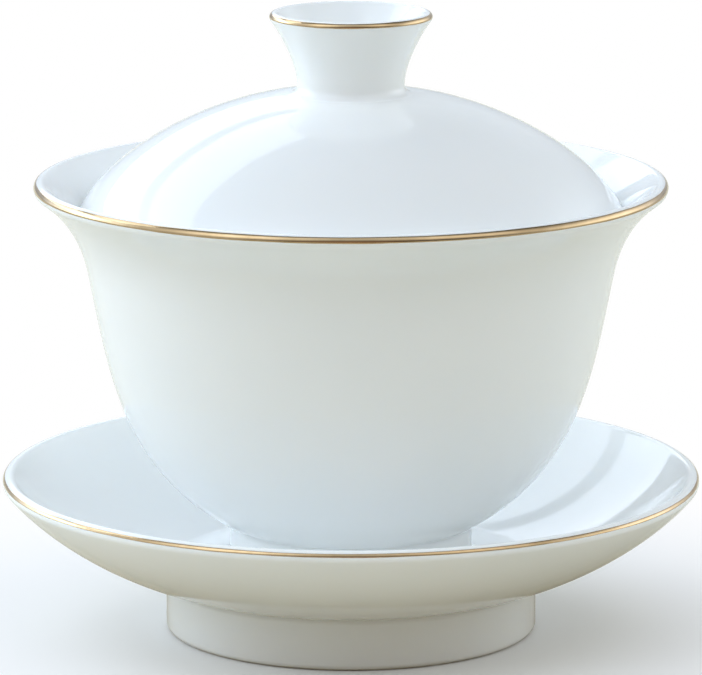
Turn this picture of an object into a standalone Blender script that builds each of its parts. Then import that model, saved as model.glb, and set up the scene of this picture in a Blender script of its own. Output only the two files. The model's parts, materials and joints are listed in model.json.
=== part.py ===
"""A porcelain gaiwan at real size: a saucer on a foot ring, a flared bowl, and a domed lid with a hollow knob.

Each piece is one closed body turned about the z axis, and the object stands on z = 0. The bowl's foot rests
in the saucer's well, and the lid's edge rests inside the bowl's flare. A small gap at each of these contacts
keeps the three pieces separate solids.
"""

import math

import bpy
from mathutils import Vector

MM = 0.001

# Driving sizes. Heights are above the table, and radii are from the common axis.
CONTACT_GAP = 0.3 * MM
SAUCER_RADIUS = 55.4 * MM
SAUCER_RIM_HEIGHT = 24.3 * MM
SAUCER_FOOT_RADIUS = 29.5 * MM
SAUCER_FOOT_HEIGHT = 8.2 * MM
WELL_FLOOR_HEIGHT = 9.5 * MM
BOWL_RADIUS = 50.0 * MM
BOWL_RIM_HEIGHT = 71.4 * MM
BOWL_WAIST_RADIUS = 41.6 * MM
BOWL_WAIST_HEIGHT = 57.8 * MM
BOWL_FOOT_RADIUS = 19.3 * MM
BOWL_FOOT_LENGTH = 7.2 * MM
LID_RADIUS = 43.0 * MM
LID_EDGE_HEIGHT = 67.2 * MM
LID_CROWN_HEIGHT = 86.1 * MM
KNOB_RADIUS = 12.8 * MM
KNOB_WAIST_RADIUS = 8.45 * MM
KNOB_RIM_HEIGHT = 98.2 * MM

TURN_STEPS = 48  # facets round each piece
OUT = 0.0  # directions in an outline, in degrees: outwards from the axis, up and down
UP = 90.0
DOWN = 270.0


def heading(degrees):
    """The unit step that an outline takes in this direction."""
    angle = math.radians(degrees)
    return Vector((math.cos(angle), math.sin(angle)))


def sweep(start, leaving, pull, end, arriving, end_pull, steps):
    """A smooth run between two points, with its direction at each end, as a Bezier curve."""
    first_handle = start + pull * heading(leaving)
    second_handle = end - end_pull * heading(arriving)
    run = []
    for step in range(steps + 1):
        t = step / steps
        ends = (1 - t) ** 3 * start + t**3 * end
        handles = 3 * (1 - t) ** 2 * t * first_handle + 3 * (1 - t) * t**2 * second_handle
        run.append(ends + handles)
    return run


def arc(centre, radius, first, last, steps):
    """Part of a circle, between two angles in degrees."""
    turn = (last - first) / steps
    return [centre + radius * heading(first + turn * step) for step in range(steps + 1)]


def wall_inside(outside, first_thickness, last_thickness):
    """The inner face of a wall whose outer face runs downwards, with its thickness changing evenly on the way."""
    lengths = [0.0]
    for a, b in zip(outside, outside[1:]):
        lengths.append(lengths[-1] + (b - a).length)
    inside = []
    for index, point in enumerate(outside):
        before = outside[max(index - 1, 0)]
        after = outside[min(index + 1, len(outside) - 1)]
        along = (after - before).normalized()
        share = lengths[index] / lengths[-1]
        thickness = first_thickness + share * (last_thickness - first_thickness)
        inside.append(point + thickness * Vector((along.y, -along.x)))
    return inside


def foot_ring(radius, bottom, width, underside, rounding):
    """The outline of a foot from its outer side down, under it, and in across the recess to the axis."""
    outer_corner = Vector((radius - rounding, bottom + rounding))
    inner_corner = Vector((radius - width + rounding, bottom + rounding))
    recess_edge = Vector((radius - width - rounding, underside - rounding))
    return [
        *arc(outer_corner, rounding, 0.0, -90.0, 3),
        *arc(inner_corner, rounding, -90.0, -180.0, 3),
        recess_edge,
        Vector((recess_edge.x - rounding, underside)),
        Vector((0.0, underside)),
    ]


def saucer_outline():
    """Well, dish, rolled rim, underside and foot ring, from the axis outwards and back."""
    lip_radius = 1.1 * MM
    rim_slope = 50.0
    rim_pull = 7.7 * MM
    foot_slope = 15.0
    foot_pull = 11.6 * MM
    dish_thickness = 2.9 * MM
    well_radius = 20.8 * MM
    well_depth = 1.4 * MM
    well_corner = 0.5 * MM
    foot_width = 3.4 * MM
    foot_rounding = 1.0 * MM
    recess_height = 6.0 * MM

    lip_centre = Vector((SAUCER_RADIUS - lip_radius, SAUCER_RIM_HEIGHT))
    under_rim = lip_centre + lip_radius * heading(rim_slope - 90.0)
    foot_top = Vector((SAUCER_FOOT_RADIUS, SAUCER_FOOT_HEIGHT))
    underside = sweep(under_rim, rim_slope + 180.0, rim_pull, foot_top, foot_slope + 180.0, foot_pull, 7)
    dish = wall_inside(underside, 2 * lip_radius, dish_thickness)[::-1]

    shoulder = Vector((well_radius + well_depth, WELL_FLOOR_HEIGHT + well_depth))
    well = [
        Vector((0.0, WELL_FLOOR_HEIGHT)),
        Vector((well_radius, WELL_FLOOR_HEIGHT)),
        *arc(shoulder + Vector((0.0, -well_corner)), well_corner, 150.0, 90.0, 2),
    ]
    lip = arc(lip_centre, lip_radius, rim_slope + 90.0, rim_slope - 90.0, 5)
    foot = foot_ring(SAUCER_FOOT_RADIUS, 0.0, foot_width, recess_height, foot_rounding)
    return well + dish[:-1] + lip + underside[1:] + foot


def bowl_outline():
    """Inside floor and wall, rolled lip, flare, body and foot ring, from the axis outwards and back."""
    lip_radius = 1.1 * MM
    lip_slope = 35.4
    lip_pull = 4.8 * MM
    waist_slope = 78.7
    waist_thickness = 1.6 * MM
    flare_pull = 6.2 * MM
    body_pull = 15.7 * MM
    base_slope = 28.0
    base_pull = 19.8 * MM
    base_thickness = 3.0 * MM
    floor_pull = 8.0 * MM
    floor_end_pull = 6.0 * MM
    foot_width = 2.2 * MM
    foot_rounding = 0.6 * MM
    recess_depth = 4.4 * MM
    foot_bottom = WELL_FLOOR_HEIGHT + CONTACT_GAP
    floor_height = foot_bottom + recess_depth + base_thickness

    lip_centre = Vector((BOWL_RADIUS - lip_radius, BOWL_RIM_HEIGHT))
    under_lip = lip_centre + lip_radius * heading(lip_slope - 90.0)
    waist = Vector((BOWL_WAIST_RADIUS, BOWL_WAIST_HEIGHT))
    base = Vector((BOWL_FOOT_RADIUS, foot_bottom + BOWL_FOOT_LENGTH))
    flare = sweep(under_lip, lip_slope + 180.0, lip_pull, waist, waist_slope + 180.0, flare_pull, 5)
    body = sweep(waist, waist_slope + 180.0, body_pull, base, base_slope + 180.0, base_pull, 8)

    upper_wall = wall_inside(flare, 2 * lip_radius, waist_thickness)
    lower_wall = wall_inside(body, waist_thickness, base_thickness)
    inside = (upper_wall + lower_wall[1:])[::-1]
    floor = sweep(Vector((0.0, floor_height)), OUT, floor_pull, inside[0], base_slope, floor_end_pull, 3)
    lip = arc(lip_centre, lip_radius, lip_slope + 90.0, lip_slope - 90.0, 5)
    foot = foot_ring(BOWL_FOOT_RADIUS, foot_bottom, foot_width, foot_bottom + recess_depth, foot_rounding)
    return floor + inside[1:-1] + lip + flare[1:] + body[1:] + foot


def knob_outline(waist):
    """The knob's inner dish from the axis, its rolled lip, and its flared side down to the waist."""
    lip_radius = 0.8 * MM
    lip_slope = 51.2
    lip_pull = 2.5 * MM
    waist_pull = 3.1 * MM
    waist_thickness = 2.6 * MM
    floor_above_crown = 1.6 * MM
    floor_pull = 3.5 * MM
    floor_end_pull = 2.0 * MM

    lip_centre = Vector((KNOB_RADIUS - lip_radius, KNOB_RIM_HEIGHT))
    under_lip = lip_centre + lip_radius * heading(lip_slope - 90.0)
    side = sweep(under_lip, lip_slope + 180.0, lip_pull, waist, DOWN, waist_pull, 5)
    inside = wall_inside(side, 2 * lip_radius, waist_thickness)[::-1]
    floor_centre = Vector((0.0, LID_CROWN_HEIGHT + floor_above_crown))
    floor = sweep(floor_centre, OUT, floor_pull, inside[1], UP, floor_end_pull, 3)
    lip = arc(lip_centre, lip_radius, lip_slope + 90.0, lip_slope - 90.0, 5)
    return floor + inside[2:-1] + lip + side[1:]


def lid_outline():
    """The knob, then the dome, its rounded edge and its underside, from the axis outwards and back."""
    edge_radius = 0.9 * MM
    edge_slope = -64.7
    edge_pull = 10.1 * MM
    crown_slope = -4.4
    crown_pull = 12.0 * MM
    crown_thickness = 2.4 * MM
    fillet = 1.5 * MM

    knob = knob_outline(Vector((KNOB_WAIST_RADIUS, LID_CROWN_HEIGHT + fillet)))
    edge_centre = Vector((LID_RADIUS - edge_radius, LID_EDGE_HEIGHT))
    above_edge = edge_centre + edge_radius * heading(edge_slope + 90.0)
    crown = Vector((KNOB_WAIST_RADIUS + fillet, LID_CROWN_HEIGHT))
    dome = sweep(crown, crown_slope, crown_pull, above_edge, edge_slope, edge_pull, 8)
    edge = arc(edge_centre, edge_radius, edge_slope + 90.0, edge_slope - 90.0, 5)
    underside = wall_inside(dome, crown_thickness, 2 * edge_radius)[::-1]
    under_crown = Vector((0.0, LID_CROWN_HEIGHT - crown_thickness))
    return knob + dome + edge[1:] + underside[1:] + [under_crown]


def porcelain(name):
    """White glazed porcelain, with a faint blue cast."""
    material = bpy.data.materials.new(name)
    material.use_nodes = True
    shader = material.node_tree.nodes["Principled BSDF"]
    shader.inputs["Base Color"].default_value = (0.82, 0.85, 0.86, 1.0)
    shader.inputs["Roughness"].default_value = 0.12
    shader.inputs["Metallic"].default_value = 0.0
    return material


def turned_piece(name, outline, collection):
    """An object whose outline, drawn in the xz plane, is turned about z by a Screw modifier."""
    mesh = bpy.data.meshes.new(name)
    edges = [(index, index + 1) for index in range(len(outline) - 1)]
    mesh.from_pydata([(point.x, 0.0, point.y) for point in outline], edges, [])
    mesh.materials.append(porcelain(name + "_porcelain"))
    piece = bpy.data.objects.new(name, mesh)
    collection.objects.link(piece)

    turn = piece.modifiers.new("Turn", "SCREW")
    turn.axis = "Z"
    turn.steps = TURN_STEPS
    turn.render_steps = TURN_STEPS
    turn.use_smooth_shade = True
    turn.use_merge_vertices = True
    turn.merge_threshold = 0.01 * MM
    return piece


def main():
    for leftover in list(bpy.data.objects):
        bpy.data.objects.remove(leftover)
    gaiwan = bpy.data.collections.new("gaiwan")
    bpy.context.scene.collection.children.link(gaiwan)
    turned_piece("saucer", saucer_outline(), gaiwan)
    turned_piece("bowl", bowl_outline(), gaiwan)
    turned_piece("lid", lid_outline(), gaiwan)


main()
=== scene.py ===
"""The looks of a white porcelain gaiwan: finely turned bodies, gold lines on the lips, and soft light."""

import json
import math

import bmesh
import bpy
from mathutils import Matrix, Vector

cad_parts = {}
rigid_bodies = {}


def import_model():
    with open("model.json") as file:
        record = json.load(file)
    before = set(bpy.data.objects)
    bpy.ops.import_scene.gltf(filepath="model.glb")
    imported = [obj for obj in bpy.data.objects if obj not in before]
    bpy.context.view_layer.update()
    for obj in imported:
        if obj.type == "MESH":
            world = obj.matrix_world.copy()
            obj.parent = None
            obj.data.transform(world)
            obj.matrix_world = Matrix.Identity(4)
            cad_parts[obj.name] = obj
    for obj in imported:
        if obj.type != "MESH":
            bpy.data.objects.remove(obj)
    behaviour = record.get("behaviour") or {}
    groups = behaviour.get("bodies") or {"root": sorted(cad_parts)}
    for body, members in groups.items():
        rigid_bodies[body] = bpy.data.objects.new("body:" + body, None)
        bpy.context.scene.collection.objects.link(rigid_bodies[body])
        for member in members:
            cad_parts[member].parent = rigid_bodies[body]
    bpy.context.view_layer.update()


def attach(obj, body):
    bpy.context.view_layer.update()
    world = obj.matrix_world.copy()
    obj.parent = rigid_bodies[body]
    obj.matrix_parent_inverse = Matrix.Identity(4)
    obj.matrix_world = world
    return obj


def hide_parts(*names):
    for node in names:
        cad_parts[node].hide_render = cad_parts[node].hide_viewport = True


for leftover in list(bpy.data.objects):
    bpy.data.objects.remove(leftover)
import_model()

MM = 0.001

# Driving sizes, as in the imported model. Heights are above the table, and radii are from the common axis.
CONTACT_GAP = 0.3 * MM
SAUCER_RADIUS = 55.4 * MM
SAUCER_RIM_HEIGHT = 24.3 * MM
SAUCER_FOOT_RADIUS = 29.5 * MM
SAUCER_FOOT_HEIGHT = 8.2 * MM
WELL_FLOOR_HEIGHT = 9.5 * MM
BOWL_RADIUS = 50.0 * MM
BOWL_RIM_HEIGHT = 71.4 * MM
BOWL_WAIST_RADIUS = 41.6 * MM
BOWL_WAIST_HEIGHT = 57.8 * MM
BOWL_FOOT_RADIUS = 19.3 * MM
BOWL_FOOT_LENGTH = 7.2 * MM
LID_RADIUS = 43.0 * MM
LID_EDGE_HEIGHT = 67.2 * MM
LID_CROWN_HEIGHT = 86.1 * MM
KNOB_RADIUS = 12.8 * MM
KNOB_WAIST_RADIUS = 8.45 * MM
KNOB_RIM_HEIGHT = 98.2 * MM
SAUCER_LIP = 1.1 * MM  # radii of the rolled lips
BOWL_LIP = 1.1 * MM
KNOB_LIP = 0.8 * MM
SAUCER_LIP_SLOPE = 50.0  # how steeply each wall runs into its lip, in degrees
BOWL_LIP_SLOPE = 35.4
KNOB_LIP_SLOPE = 51.2

TURN_STEPS = 192  # faces round each piece
ON_AXIS = 0.01 * MM  # a point closer to the axis than this lies on it
LONGEST_STEP = 0.9 * MM  # along an outline
GLAZED, BARE = 0, 1  # material slots of a turned body

OUT = 0.0  # directions in an outline, in degrees
UP = 90.0
DOWN = 270.0


# Outlines

def heading(degrees):
    """The unit step that an outline takes in this direction."""
    angle = math.radians(degrees)
    return Vector((math.cos(angle), math.sin(angle)))


def sweep(start, leaving, pull, end, arriving, end_pull, steps=36):
    """A smooth run between two points, with its direction at each end, as a Bezier curve."""
    first_handle = start + pull * heading(leaving)
    second_handle = end - end_pull * heading(arriving)
    run = []
    for step in range(steps + 1):
        t = step / steps
        ends = (1 - t) ** 3 * start + t**3 * end
        handles = 3 * (1 - t) ** 2 * t * first_handle + 3 * (1 - t) * t**2 * second_handle
        run.append(ends + handles)
    return run


def arc(centre, radius, first, last, steps=10):
    """Part of a circle, between two angles in degrees."""
    turn = (last - first) / steps
    return [centre + radius * heading(first + turn * step) for step in range(steps + 1)]


def wall_inside(outside, first_thickness, last_thickness):
    """The inner face of a wall whose outer face runs downwards. Its thickness changes evenly on the way."""
    lengths = [0.0]
    for a, b in zip(outside, outside[1:]):
        lengths.append(lengths[-1] + (b - a).length)
    inside = []
    for index, point in enumerate(outside):
        before = outside[max(index - 1, 0)]
        after = outside[min(index + 1, len(outside) - 1)]
        along = (after - before).normalized()
        share = lengths[index] / lengths[-1]
        thickness = first_thickness + share * (last_thickness - first_thickness)
        inside.append(point + thickness * Vector((along.y, -along.x)))
    return inside


def foot_ring(radius, bottom, width, underside, rounding):
    """The outline of a foot from its outer side down, under it, and in across the recess to the axis."""
    outer_corner = Vector((radius - rounding, bottom + rounding))
    inner_corner = Vector((radius - width + rounding, bottom + rounding))
    hollow = Vector((radius - width - rounding, underside - rounding))
    return [
        *arc(outer_corner, rounding, 0.0, -90.0),
        *arc(inner_corner, rounding, -90.0, -180.0),
        *arc(hollow, rounding, 0.0, 90.0),
        Vector((0.0, underside)),
    ]


def lip_arc(centre, radius, slope):
    """The half circle over a lip, from its inner side to its outer side."""
    return arc(centre, radius, slope + 90.0, slope - 90.0, 20)


def saucer_lip_centre():
    return Vector((SAUCER_RADIUS - SAUCER_LIP, SAUCER_RIM_HEIGHT))


def bowl_lip_centre():
    return Vector((BOWL_RADIUS - BOWL_LIP, BOWL_RIM_HEIGHT))


def knob_lip_centre():
    return Vector((KNOB_RADIUS - KNOB_LIP, KNOB_RIM_HEIGHT))


def saucer_outline():
    """Well, dish, rolled rim, underside and foot ring, from the axis outwards and back."""
    rim_pull = 7.7 * MM
    foot_slope = 15.0
    foot_pull = 11.6 * MM
    dish_thickness = 2.9 * MM
    well_radius = 20.8 * MM
    well_depth = 1.4 * MM
    well_corner = 0.5 * MM
    foot_width = 3.4 * MM
    foot_rounding = 1.0 * MM
    recess_height = 6.0 * MM

    under_rim = saucer_lip_centre() + SAUCER_LIP * heading(SAUCER_LIP_SLOPE - 90.0)
    foot_top = Vector((SAUCER_FOOT_RADIUS, SAUCER_FOOT_HEIGHT))
    from_rim = SAUCER_LIP_SLOPE + 180.0
    underside = sweep(under_rim, from_rim, rim_pull, foot_top, foot_slope + 180.0, foot_pull)
    dish = wall_inside(underside, 2 * SAUCER_LIP, dish_thickness)[::-1]

    corner = Vector((well_radius - well_corner, WELL_FLOOR_HEIGHT + well_corner))
    shoulder = Vector((well_radius + well_depth, WELL_FLOOR_HEIGHT + well_depth - well_corner))
    well = [
        Vector((0.0, WELL_FLOOR_HEIGHT)),
        *arc(corner, well_corner, -90.0, 0.0),
        *arc(shoulder, well_corner, 150.0, 90.0),
    ]
    lip = lip_arc(saucer_lip_centre(), SAUCER_LIP, SAUCER_LIP_SLOPE)
    foot = foot_ring(SAUCER_FOOT_RADIUS, 0.0, foot_width, recess_height, foot_rounding)
    return well + dish[:-1] + lip + underside[1:] + foot


def bowl_outline():
    """Inside floor and wall, rolled lip, flare, body and foot ring, from the axis outwards and back."""
    lip_pull = 4.8 * MM
    waist_slope = 78.7
    waist_thickness = 1.6 * MM
    flare_pull = 6.2 * MM
    body_pull = 15.7 * MM
    base_slope = 28.0
    base_pull = 19.8 * MM
    base_thickness = 3.0 * MM
    floor_pull = 8.0 * MM
    floor_end_pull = 6.0 * MM
    foot_width = 2.2 * MM
    foot_rounding = 0.6 * MM
    recess_depth = 4.4 * MM
    foot_bottom = WELL_FLOOR_HEIGHT + CONTACT_GAP
    floor_height = foot_bottom + recess_depth + base_thickness

    under_lip = bowl_lip_centre() + BOWL_LIP * heading(BOWL_LIP_SLOPE - 90.0)
    waist = Vector((BOWL_WAIST_RADIUS, BOWL_WAIST_HEIGHT))
    base = Vector((BOWL_FOOT_RADIUS, foot_bottom + BOWL_FOOT_LENGTH))
    flare = sweep(under_lip, BOWL_LIP_SLOPE + 180.0, lip_pull, waist, waist_slope + 180.0, flare_pull, 24)
    body = sweep(waist, waist_slope + 180.0, body_pull, base, base_slope + 180.0, base_pull)

    upper_wall = wall_inside(flare, 2 * BOWL_LIP, waist_thickness)
    lower_wall = wall_inside(body, waist_thickness, base_thickness)
    inside = (upper_wall + lower_wall[1:])[::-1]
    floor = sweep(Vector((0.0, floor_height)), OUT, floor_pull, inside[0], base_slope, floor_end_pull, 16)
    lip = lip_arc(bowl_lip_centre(), BOWL_LIP, BOWL_LIP_SLOPE)
    foot = foot_ring(BOWL_FOOT_RADIUS, foot_bottom, foot_width, foot_bottom + recess_depth, foot_rounding)
    return floor + inside[1:-1] + lip + flare[1:] + body[1:] + foot


def knob_outline(waist):
    """The knob's inner dish from the axis, its rolled lip, and its flared side down to the waist."""
    lip_pull = 2.5 * MM
    waist_pull = 3.1 * MM
    waist_thickness = 2.6 * MM
    floor_above_crown = 1.6 * MM
    floor_pull = 3.5 * MM
    floor_end_pull = 2.0 * MM
    steps = 20
    first_wall_point = 4  # the floor joins the wall this many steps above the waist

    under_lip = knob_lip_centre() + KNOB_LIP * heading(KNOB_LIP_SLOPE - 90.0)
    side = sweep(under_lip, KNOB_LIP_SLOPE + 180.0, lip_pull, waist, DOWN, waist_pull, steps)
    inside = wall_inside(side, 2 * KNOB_LIP, waist_thickness)[::-1]
    floor_centre = Vector((0.0, LID_CROWN_HEIGHT + floor_above_crown))
    floor = sweep(floor_centre, OUT, floor_pull, inside[first_wall_point], UP, floor_end_pull, 12)
    lip = lip_arc(knob_lip_centre(), KNOB_LIP, KNOB_LIP_SLOPE)
    return floor + inside[first_wall_point + 1:-1] + lip + side[1:]


def lid_outline():
    """The knob, then the dome, its rounded edge and its underside, from the axis outwards and back."""
    edge_radius = 0.9 * MM
    edge_slope = -64.7
    edge_pull = 10.1 * MM
    crown_slope = -4.4
    crown_pull = 12.0 * MM
    crown_thickness = 2.4 * MM
    fillet = 1.5 * MM

    knob = knob_outline(Vector((KNOB_WAIST_RADIUS, LID_CROWN_HEIGHT + fillet)))
    fillet_centre = Vector((KNOB_WAIST_RADIUS + fillet, LID_CROWN_HEIGHT + fillet))
    waist_fillet = arc(fillet_centre, fillet, 180.0, 270.0, 8)
    edge_centre = Vector((LID_RADIUS - edge_radius, LID_EDGE_HEIGHT))
    above_edge = edge_centre + edge_radius * heading(edge_slope + 90.0)
    crown = Vector((KNOB_WAIST_RADIUS + fillet, LID_CROWN_HEIGHT))
    dome = sweep(crown, crown_slope, crown_pull, above_edge, edge_slope, edge_pull)
    edge = arc(edge_centre, edge_radius, edge_slope + 90.0, edge_slope - 90.0, 20)
    underside = wall_inside(dome, crown_thickness, 2 * edge_radius)[::-1]
    under_crown = Vector((0.0, LID_CROWN_HEIGHT - crown_thickness))
    return knob + waist_fillet[1:-1] + dome + edge[1:] + underside[1:] + [under_crown]


def evened(outline):
    """The outline with its long stretches cut into short steps, so that shading stays even on them."""
    fine = [outline[0]]
    for end in outline[1:]:
        start = fine[-1]
        pieces = math.ceil((end - start).length / LONGEST_STEP)
        for piece in range(1, pieces + 1):
            fine.append(start.lerp(end, piece / pieces))
    return fine


# Meshes

def ring_of(mesh, point):
    """One vertex for a point on the axis, and a full ring of them for any other point."""
    if point.x < ON_AXIS:
        return [mesh.verts.new((0.0, 0.0, point.y))] * TURN_STEPS
    ring = []
    for step in range(TURN_STEPS):
        angle = 2 * math.pi * step / TURN_STEPS
        ring.append(mesh.verts.new((point.x * math.cos(angle), point.x * math.sin(angle), point.y)))
    return ring


def add_band(mesh, inner, outer, material_index):
    """The faces between two rings that follow each other."""
    for step in range(TURN_STEPS):
        following = (step + 1) % TURN_STEPS
        corners = [inner[step], outer[step], outer[following], inner[following]]
        face = mesh.faces.new(list(dict.fromkeys(corners)))
        face.smooth = True
        face.material_index = material_index


def object_of(name, mesh, materials):
    data = bpy.data.meshes.new(name)
    mesh.to_mesh(data)
    mesh.free()
    for material in materials:
        data.materials.append(material)
    piece = bpy.data.objects.new(name, data)
    bpy.context.scene.collection.objects.link(piece)
    return piece


def turned_body(name, outline, bare_below, materials):
    """A body of revolution. Its lowest band, up to the height bare_below, takes the second material."""
    points = evened(outline)
    mesh = bmesh.new()
    rings = [ring_of(mesh, point) for point in points]
    for index in range(len(points) - 1):
        standing = max(points[index].y, points[index + 1].y) < bare_below
        add_band(mesh, rings[index], rings[index + 1], BARE if standing else GLAZED)
    return object_of(name, mesh, materials)


def brush_waver(angle):
    """How a hand-drawn edge wanders on its way round the axis, from -1 to 1."""
    return 0.5 * math.sin(5 * angle + 0.6) + 0.3 * math.sin(13 * angle + 2.1) + 0.2 * math.sin(29 * angle)


def gold_line(name, centre, lip_radius, innermost, lowest, material):
    """A thin line of gold over a lip: a crescent in section, a hair proud of the glaze, and closed.

    Its two edges run at the given angles on the lip's rounding, in degrees above the level.
    """
    proud = 0.03 * MM
    bedded = 0.05 * MM
    waver = 3.0  # how far each edge wanders, in degrees on the rounding
    apart = 2.0  # radians between the two edges' wanderings, so that they don't run alike
    flatness = 6  # how flat the crescent's top is: at 2 it is a bow, and higher is flatter
    steps = 16

    mesh = bmesh.new()
    sections = []
    for turn in range(TURN_STEPS):
        angle = 2 * math.pi * turn / TURN_STEPS
        first = innermost + waver * brush_waver(angle)
        last = lowest - waver * brush_waver(angle + apart)
        section = []
        for step in range(2 * steps):
            over = step <= steps
            share = step / steps if over else 2 - step / steps
            lift = (proud + bedded) * (1 - (2 * share - 1) ** flatness) if over else 0.0
            point = centre + (lip_radius - bedded + lift) * heading(first + share * (last - first))
            section.append(mesh.verts.new((point.x * math.cos(angle), point.x * math.sin(angle), point.y)))
        sections.append(section)
    for turn in range(TURN_STEPS):
        here = sections[turn]
        there = sections[(turn + 1) % TURN_STEPS]
        for step in range(2 * steps):
            following = (step + 1) % (2 * steps)
            face = mesh.faces.new((here[step], here[following], there[following], there[step]))
            face.smooth = True
    return object_of(name, mesh, [material])


# Materials

def new_material(name):
    material = bpy.data.materials.new(name)
    material.use_nodes = True
    return material, material.node_tree, material.node_tree.nodes["Principled BSDF"]


def noise(tree, scale):
    """Noise in the piece's own space, in features of about 1 / scale metres."""
    place = tree.nodes.new("ShaderNodeTexCoord")
    texture = tree.nodes.new("ShaderNodeTexNoise")
    texture.inputs["Scale"].default_value = scale
    tree.links.new(place.outputs["Object"], texture.inputs["Vector"])
    return texture.outputs["Fac"]


def spread(tree, value, low, high):
    """The middle of a noise's range, which holds nearly all of it, stretched over low to high."""
    usual_least = 0.3
    usual_most = 0.7
    ramp = tree.nodes.new("ShaderNodeMapRange")
    ramp.inputs["From Min"].default_value = usual_least
    ramp.inputs["From Max"].default_value = usual_most
    ramp.inputs["To Min"].default_value = low
    ramp.inputs["To Max"].default_value = high
    tree.links.new(value, ramp.inputs["Value"])
    return ramp.outputs["Result"]


def blended(tree, factor, first, second):
    """A colour between two others."""
    mix = tree.nodes.new("ShaderNodeMix")
    mix.data_type = "RGBA"
    mix.inputs["A"].default_value = (*first, 1.0)
    mix.inputs["B"].default_value = (*second, 1.0)
    tree.links.new(factor, mix.inputs["Factor"])
    return mix.outputs["Result"]


def add_bump(tree, shader, height, depth):
    bump = tree.nodes.new("ShaderNodeBump")
    bump.inputs["Distance"].default_value = depth
    tree.links.new(height, bump.inputs["Height"])
    tree.links.new(bump.outputs["Normal"], shader.inputs["Normal"])


def glazed_porcelain():
    """White porcelain under a clear glaze that is a little uneven in thickness."""
    cooler = (0.88, 0.91, 0.91)
    warmer = (0.90, 0.925, 0.92)
    material, tree, shader = new_material("glazed_porcelain")
    clouds = spread(tree, noise(tree, 45.0), 0.0, 1.0)
    tree.links.new(blended(tree, clouds, cooler, warmer), shader.inputs["Base Color"])
    tree.links.new(spread(tree, noise(tree, 160.0), 0.05, 0.09), shader.inputs["Roughness"])
    shader.inputs["IOR"].default_value = 1.5
    shader.inputs["Subsurface Weight"].default_value = 0.25
    shader.inputs["Subsurface Radius"].default_value = (1.0, 0.9, 0.8)
    shader.inputs["Subsurface Scale"].default_value = 1.2 * MM
    add_bump(tree, shader, noise(tree, 120.0), 0.02 * MM)
    return material


def bare_porcelain():
    """The unglazed biscuit of a foot: matt, a little warmer, and finely grained."""
    darker = (0.66, 0.63, 0.57)
    lighter = (0.76, 0.74, 0.69)
    material, tree, shader = new_material("bare_porcelain")
    grain = spread(tree, noise(tree, 900.0), 0.0, 1.0)
    tree.links.new(blended(tree, grain, darker, lighter), shader.inputs["Base Color"])
    tree.links.new(spread(tree, noise(tree, 2500.0), 0.62, 0.82), shader.inputs["Roughness"])
    add_bump(tree, shader, noise(tree, 3500.0), 0.05 * MM)
    return material


def brushed_gold():
    """Burnished gold laid on by brush, a little thinner and darker in places."""
    thin = (0.46, 0.33, 0.18)
    thick = (0.56, 0.41, 0.24)
    material, tree, shader = new_material("brushed_gold")
    strokes = spread(tree, noise(tree, 240.0), 0.0, 1.0)
    tree.links.new(blended(tree, strokes, thin, thick), shader.inputs["Base Color"])
    tree.links.new(spread(tree, noise(tree, 700.0), 0.05, 0.13), shader.inputs["Roughness"])
    shader.inputs["Metallic"].default_value = 1.0
    add_bump(tree, shader, noise(tree, 1500.0), 0.01 * MM)
    return material


# The studio

def add_camera():
    """A long lens, looking down a little from the front."""
    lens = 287.5
    target = Vector((0.0, 0.0, 46.9 * MM))
    distance = 0.889
    look_down = math.radians(11.59)

    data = bpy.data.cameras.new("camera")
    data.lens = lens
    data.sensor_width = 36.0
    data.sensor_fit = "HORIZONTAL"
    camera = bpy.data.objects.new("camera", data)
    camera.location = target + distance * Vector((0.0, -math.cos(look_down), math.sin(look_down)))
    camera.rotation_euler = (math.pi / 2 - look_down, 0.0, 0.0)
    bpy.context.scene.collection.objects.link(camera)
    bpy.context.scene.camera = camera


def smooth_step(tree, distance, start, end):
    """0 up to the start distance, 1 from the end distance on, and a smooth change between them."""
    step = tree.nodes.new("ShaderNodeMapRange")
    step.interpolation_type = "SMOOTHSTEP"
    step.inputs["From Min"].default_value = start
    step.inputs["From Max"].default_value = end
    tree.links.new(distance, step.inputs["Value"])
    return step.outputs["Result"]


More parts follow.
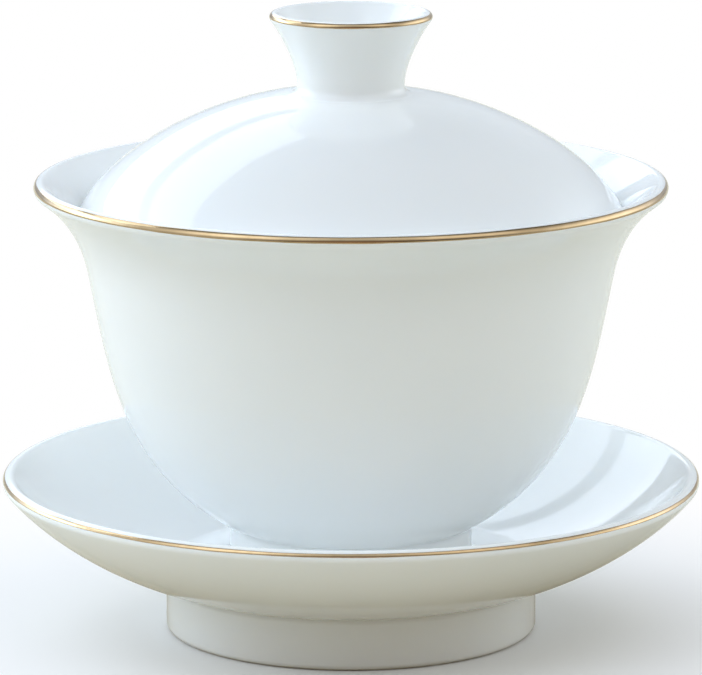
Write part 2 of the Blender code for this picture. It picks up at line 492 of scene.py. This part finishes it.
def pale_floor():
    """A plain pale floor that fades into the white background round the object.

    The light that it throws back is warmer than it looks itself, and its colour is darker near the object:
    painted shade, standing in for the shadow under the object.
    """
    pale = (0.90, 0.90, 0.90)
    white = (1.0, 1.0, 1.0)
    # painted shade: the colour that the floor throws back is darker near the object, for the shadow under
    # it
    shaded_near_bounce = (0.50, 0.43, 0.30)
    far_bounce = (0.78, 0.74, 0.61)
    material = bpy.data.materials.new("pale_floor")
    material.use_nodes = True
    tree = material.node_tree
    tree.nodes.clear()
    place = tree.nodes.new("ShaderNodeTexCoord")
    from_middle = tree.nodes.new("ShaderNodeVectorMath")
    from_middle.operation = "LENGTH"
    tree.links.new(place.outputs["Object"], from_middle.inputs[0])
    distance = from_middle.outputs["Value"]

    seen = tree.nodes.new("ShaderNodeBsdfDiffuse")
    seen.inputs["Color"].default_value = (*pale, 1.0)
    far = tree.nodes.new("ShaderNodeEmission")
    far.inputs["Color"].default_value = (*white, 1.0)
    faded = tree.nodes.new("ShaderNodeMixShader")
    tree.links.new(smooth_step(tree, distance, 0.03, 0.12), faded.inputs[0])
    tree.links.new(seen.outputs["BSDF"], faded.inputs[1])
    tree.links.new(far.outputs["Emission"], faded.inputs[2])

    bounce = tree.nodes.new("ShaderNodeBsdfDiffuse")
    # painted shade: a darker thrown-back colour near the object, lighter further out
    bounced = blended(tree, smooth_step(tree, distance, 0.02, 0.10), shaded_near_bounce, far_bounce)
    tree.links.new(bounced, bounce.inputs["Color"])

    path = tree.nodes.new("ShaderNodeLightPath")
    chosen = tree.nodes.new("ShaderNodeMixShader")
    output = tree.nodes.new("ShaderNodeOutputMaterial")
    tree.links.new(path.outputs["Is Camera Ray"], chosen.inputs[0])
    tree.links.new(bounce.outputs["BSDF"], chosen.inputs[1])
    tree.links.new(faded.outputs["Shader"], chosen.inputs[2])
    tree.links.new(chosen.outputs["Shader"], output.inputs["Surface"])
    return material


def add_floor():
    radius = 6.0
    mesh = bmesh.new()
    bmesh.ops.create_circle(mesh, cap_ends=True, segments=96, radius=radius)
    floor = object_of("floor", mesh, [pale_floor()])


def towards(azimuth, elevation):
    """The unit vector to a place round the object. Azimuth 0 is the camera's side, and 90 the right."""
    turn = math.radians(azimuth)
    rise = math.radians(elevation)
    return Vector((math.sin(turn) * math.cos(rise), -math.cos(turn) * math.cos(rise), math.sin(rise)))


def add_window_pane(name, elevation, height):
    """One wide pane of the window behind the object on the left, as a soft box that shows in the glaze."""
    azimuth = -140.0
    distance = 1.3
    width = 1.9
    middle = Vector((0.0, 0.0, 50.0 * MM))
    strength = 5.0
    daylight = (0.86, 0.96, 1.10)

    away = towards(azimuth, elevation)
    data = bpy.data.lights.new(name, "AREA")
    data.shape = "RECTANGLE"
    data.size = width
    data.size_y = height
    data.color = daylight
    data.energy = strength * width * height
    pane = bpy.data.objects.new(name, data)
    pane.location = middle + distance * away
    pane.rotation_euler = away.to_track_quat("Z", "Y").to_euler()
    pane.visible_camera = False
    bpy.context.scene.collection.objects.link(pane)


def soft_glow(tree, place, azimuth, elevation, width, colour, strength):
    """One soft light with no edge: it fades with the angle from its middle, by half in about 1.2 widths."""
    sharpness = 1 / math.radians(width) ** 2
    facing = tree.nodes.new("ShaderNodeVectorMath")
    facing.operation = "DOT_PRODUCT"
    facing.inputs[1].default_value = towards(azimuth, elevation)
    tree.links.new(place, facing.inputs[0])
    exponent = tree.nodes.new("ShaderNodeMath")
    exponent.operation = "MULTIPLY_ADD"
    exponent.inputs[1].default_value = sharpness
    exponent.inputs[2].default_value = -sharpness
    tree.links.new(facing.outputs["Value"], exponent.inputs[0])
    fade = tree.nodes.new("ShaderNodeMath")
    fade.operation = "EXPONENT"
    tree.links.new(exponent.outputs["Value"], fade.inputs[0])
    glow = tree.nodes.new("ShaderNodeVectorMath")
    glow.operation = "SCALE"
    glow.inputs[0].default_value = strength * Vector(colour)
    tree.links.new(fade.outputs["Value"], glow.inputs["Scale"])
    return glow.outputs["Vector"]


def add_world():
    """White where the camera sees it. For everything else, a room with large soft lights."""
    daylight = (0.86, 0.98, 1.14)
    white_wall = (0.94, 1.00, 1.07)
    pale_wall = (1.00, 1.00, 0.98)
    wood = (1.00, 0.50, 0.20)
    soft_lights = {  # azimuth, elevation and width in degrees, colour, and strength in the middle
        "left_window": (-115.0, 10.0, 17.0, daylight, 4.0),
        "left_wall": (-60.0, 12.0, 20.0, white_wall, 0.7),
        "left_ceiling": (-50.0, 44.0, 16.0, white_wall, 2.0),
        "front_ceiling": (0.0, 70.0, 22.0, daylight, 0.7),
        "front_table": (0.0, 4.0, 13.0, wood, 0.4),
        "right_ceiling": (50.0, 44.0, 16.0, pale_wall, 1.3),
        "right_wall": (90.0, 12.0, 17.0, white_wall, 1.3),
        "right_window": (120.0, 12.0, 17.0, white_wall, 2.1),
        "back_wall": (180.0, 15.0, 20.0, white_wall, 0.8),
    }
    world = bpy.data.worlds.new("room")
    world.use_nodes = True
    tree = world.node_tree
    tree.nodes.clear()
    place = tree.nodes.new("ShaderNodeTexCoord").outputs["Generated"]
    total = None
    for light in soft_lights.values():
        glow = soft_glow(tree, place, *light)
        if total is None:
            total = glow
            continue
        both = tree.nodes.new("ShaderNodeVectorMath")
        both.operation = "ADD"
        tree.links.new(total, both.inputs[0])
        tree.links.new(glow, both.inputs[1])
        total = both.outputs["Vector"]
    path = tree.nodes.new("ShaderNodeLightPath")
    room = tree.nodes.new("ShaderNodeBackground")
    tree.links.new(total, room.inputs["Color"])
    white = tree.nodes.new("ShaderNodeBackground")
    white.inputs["Color"].default_value = (1.0, 1.0, 1.0, 1.0)
    chosen = tree.nodes.new("ShaderNodeMixShader")
    output = tree.nodes.new("ShaderNodeOutputWorld")
    tree.links.new(path.outputs["Is Camera Ray"], chosen.inputs[0])
    tree.links.new(room.outputs["Background"], chosen.inputs[1])
    tree.links.new(white.outputs["Background"], chosen.inputs[2])
    tree.links.new(chosen.outputs["Shader"], output.inputs["Surface"])
    bpy.context.scene.world = world


# The object

def dress(piece, body):
    """Puts a piece on its body."""
    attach(piece, body)


def make_bodies():
    bare = 0.3 * MM  # how far the bare biscuit comes up each foot's rounding
    bodies = {  # the outline, and the height below which it is bare
        "saucer": (saucer_outline(), bare),
        "bowl": (bowl_outline(), WELL_FLOOR_HEIGHT + CONTACT_GAP + bare),
        "lid": (lid_outline(), 0.0),
    }
    materials = [glazed_porcelain(), bare_porcelain()]
    for name, (outline, bare_below) in bodies.items():
        body = turned_body(name + "_body", outline, bare_below, materials)
        dress(body, name)
        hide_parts(name)


def make_gold_lines():
    gold = brushed_gold()
    lines = [  # name, body, the lip's centre and radius, and the line's two edges in degrees on it
        ("saucer_gold_line", "saucer", saucer_lip_centre(), SAUCER_LIP, 50.0, 12.0),
        ("bowl_gold_line", "bowl", bowl_lip_centre(), BOWL_LIP, 60.0, -6.0),
        ("knob_gold_line", "lid", knob_lip_centre(), KNOB_LIP, 66.0, -8.0),
    ]
    for name, body, *shape in lines:
        dress(gold_line(name, *shape, gold), body)


make_bodies()
make_gold_lines()
add_camera()
add_floor()
add_window_pane("lower_pane", 24.0, 0.38)
add_window_pane("upper_pane", 46.0, 0.42)
add_world()
bpy.context.scene.view_settings.view_transform = "Standard"
